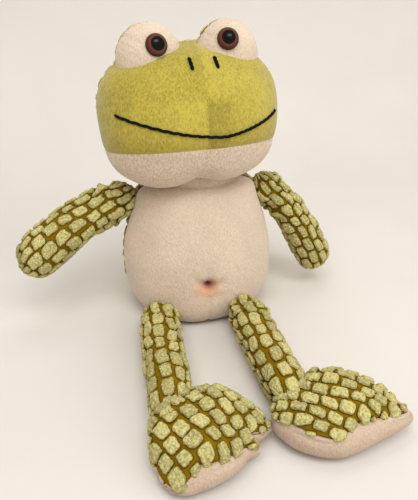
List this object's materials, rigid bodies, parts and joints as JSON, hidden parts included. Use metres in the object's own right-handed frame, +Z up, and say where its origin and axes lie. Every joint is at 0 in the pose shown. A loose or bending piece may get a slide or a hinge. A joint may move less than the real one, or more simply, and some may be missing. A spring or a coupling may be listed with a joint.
{
  "type": "plush frog",
  "caption": "Sitting plush frog with a wide head, raised eye bumps, dangling limbs and webbed feet, sewn from soft panels over fibre filling.",
  "frame": {"origin": "middle of the base of the whole frog's box, on the surface it sits on", "axes": "+Z up, -Y the way the frog faces, so its right side is at -X"},
  "size_m": [0.2792, 0.278, 0.2438],
  "materials": {
    "cream": "matte",
    "velour": "matte",
    "patched": "matte",
    "fibre": "matte",
    "pouch": "matte",
    "eye": "gloss",
    "washer": "matte",
    "thread": "satin",
    "navel": "matte"
  },
  "bodies": {
    "torso": {"tummy_panel": "cream", "back_panel": "patched", "seat_panel": "patched", "torso_filling": "fibre", "pellet_pouch": "pouch", "navel_tuck": "navel"},
    "neck_gusset": {"neck_gusset": "patched"},
    "head": {"head_back_panel": "patched", "right_snout_panel": "velour", "right_chin_panel": "cream", "left_snout_panel": "velour", "left_chin_panel": "cream", "head_filling": "fibre", "right_eye": "eye", "right_eye_washer": "washer", "right_brow_panel": "cream", "right_bump_back_panel": "patched", "left_eye": "eye", "left_eye_washer": "washer", "left_brow_panel": "cream", "left_bump_back_panel": "patched", "mouth_stitching": "cream", "right_nostril_stitching": "cream", "left_nostril_stitching": "cream"},
    "right_shoulder_gusset": {"right_shoulder_gusset": "patched"},
    "right_arm": {"right_arm_front_panel": "patched", "right_arm_back_panel": "patched", "right_arm_filling": "fibre"},
    "left_shoulder_gusset": {"left_shoulder_gusset": "patched"},
    "left_arm": {"left_arm_front_panel": "patched", "left_arm_back_panel": "patched", "left_arm_filling": "fibre"},
    "right_hip_gusset": {"right_hip_gusset": "patched"},
    "right_leg": {"right_leg_top_panel": "patched", "right_leg_under_panel": "patched", "right_leg_filling": "fibre"},
    "right_foot": {"right_foot_top_panel": "patched", "right_foot_sole_panel": "cream", "right_foot_filling": "fibre"},
    "left_hip_gusset": {"left_hip_gusset": "patched"},
    "left_leg": {"left_leg_top_panel": "patched", "left_leg_under_panel": "patched", "left_leg_filling": "fibre"},
    "left_foot": {"left_foot_top_panel": "patched", "left_foot_sole_panel": "cream", "left_foot_filling": "fibre"}
  },
  "joints": [
    {"name": "neck_nod", "type": "hinge", "parent": "torso", "child": "neck_gusset", "pos_m": [0.01304, 0.09381, 0.0945], "axis": [1, 0, 0], "range_deg": [-15, 15]},
    {"name": "neck_turn", "type": "hinge", "parent": "neck_gusset", "child": "head", "pos_m": [0.01304, 0.09381, 0.0945], "axis": [0, 0, 1], "range_deg": [-30, 30]},
    {"name": "right_shoulder_swing", "type": "hinge", "parent": "torso", "child": "right_shoulder_gusset", "pos_m": [-0.05243, 0.09881, 0.1015], "axis": [0, 0, 1], "range_deg": [-30, 40]},
    {"name": "right_shoulder_lift", "type": "hinge", "parent": "right_shoulder_gusset", "child": "right_arm", "pos_m": [-0.05243, 0.09881, 0.1015], "axis": [-0.309, 0.9511, 0], "range_deg": [-20, 65]},
    {"name": "left_shoulder_swing", "type": "hinge", "parent": "torso", "child": "left_shoulder_gusset", "pos_m": [0.0785, 0.09881, 0.1015], "axis": [0, 0, -1], "range_deg": [-30, 35]},
    {"name": "left_shoulder_lift", "type": "hinge", "parent": "left_shoulder_gusset", "child": "left_arm", "pos_m": [0.0785, 0.09881, 0.1015], "axis": [-0.0872, -0.9962, 0], "range_deg": [-15, 95]},
    {"name": "right_hip_lift", "type": "hinge", "parent": "torso", "child": "right_hip_gusset", "pos_m": [-0.03096, 0.03486, 0.015], "axis": [-1, 0, 0], "range_deg": [-80, 70]},
    {"name": "right_hip_spread", "type": "hinge", "parent": "right_hip_gusset", "child": "right_leg", "pos_m": [-0.03096, 0.03486, 0.015], "axis": [0, 0, -1], "range_deg": [-5, 40]},
    {"name": "right_ankle_flex", "type": "hinge", "parent": "right_leg", "child": "right_foot", "pos_m": [-0.03554, -0.07004, 0.015], "axis": [-0.8988, -0.4384, 0], "range_deg": [-25, 15]},
    {"name": "left_hip_lift", "type": "hinge", "parent": "torso", "child": "left_hip_gusset", "pos_m": [0.04404, 0.03086, 0.015], "axis": [-1, 0, 0], "range_deg": [-80, 65]},
    {"name": "left_hip_spread", "type": "hinge", "parent": "left_hip_gusset", "child": "left_leg", "pos_m": [0.04404, 0.03086, 0.015], "axis": [0, 0, 1], "range_deg": [-5, 40]},
    {"name": "left_ankle_flex", "type": "hinge", "parent": "left_leg", "child": "left_foot", "pos_m": [0.0477, -0.07408, 0.015], "axis": [-0.5736, -0.8192, 0], "range_deg": [-25, 15]}
  ]
}
